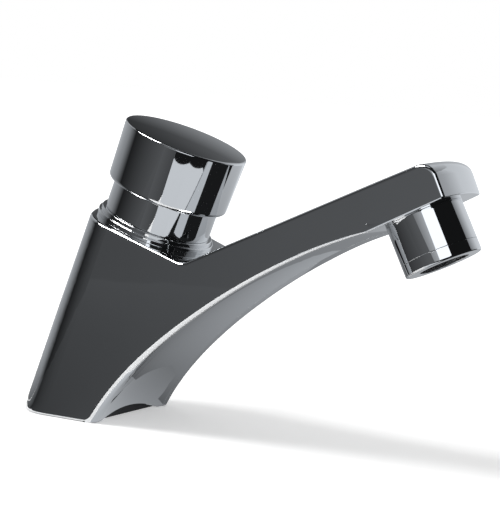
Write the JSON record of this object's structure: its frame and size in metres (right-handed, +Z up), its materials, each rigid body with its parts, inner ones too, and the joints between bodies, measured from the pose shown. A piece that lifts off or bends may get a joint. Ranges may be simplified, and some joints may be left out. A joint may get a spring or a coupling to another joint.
{
  "type": "push timed tap",
  "caption": "Push-button timed basin tap: leaning chromed body with a hollowed spout, sprung button on a neck, timing cartridge and angled aerator outlet.",
  "frame": {"origin": "mouth of the inlet thread in the base plane, where the push axis crosses that plane", "axes": "+Z up from the basin, +X towards the spout's outlet, +Y to the left of someone looking along the spout from behind"},
  "size_m": [0.1572, 0.0498, 0.101],
  "materials": {
    "body_chrome": "polished chrome plate on cast brass",
    "button_chrome": "polished chrome plate on turned brass",
    "neck_chrome": "polished chrome plate on turned brass",
    "trim_chrome": "polished chrome plate, turned lines",
    "nozzle_chrome": "polished chrome plate",
    "aerator_chrome": "polished chrome plate",
    "black_rubber": "moulded black rubber",
    "valve_brass": "machined brass",
    "stainless": "drawn stainless steel",
    "white_acetal": "machined white plastic",
    "grey_plastic": "moulded dark grey plastic",
    "red_fibre": "pressed fibre"
  },
  "bodies": {
    "tap": {"tap_body": "body_chrome", "base_gasket": "black_rubber", "cartridge_body": "valve_brass", "cartridge_o_rings": "black_rubber", "filter_sleeve": "stainless", "timing_cup": "valve_brass", "timing_pin": "valve_brass", "bleed_filter": "stainless", "return_spring": "stainless", "bonnet": "neck_chrome", "bonnet_o_ring": "black_rubber", "stem_guide": "white_acetal", "stem_o_ring": "black_rubber", "guide_circlip": "stainless", "trim_ring": "trim_chrome", "outlet_nozzle": "nozzle_chrome", "nozzle_seal": "red_fibre", "aerator_ring": "aerator_chrome", "aerator_washer": "black_rubber", "aerator_insert": "grey_plastic", "aerator_grille": "grey_plastic", "aerator_screen": "stainless"},
    "button": {"push_button": "button_chrome", "button_locknut": "valve_brass", "stem": "stainless", "valve_washer": "black_rubber", "piston": "white_acetal", "piston_lip_seal": "black_rubber", "piston_nut": "valve_brass"}
  },
  "joints": [
    {"name": "button_push", "type": "slide", "parent": "tap", "child": "button", "axis": [-0.3128, 0, -0.9498], "range_m": [0, 0.006], "stiffness_N_per_m": 2500, "springref_m": -0.005, "deforming": ["return_spring"]}
  ]
}
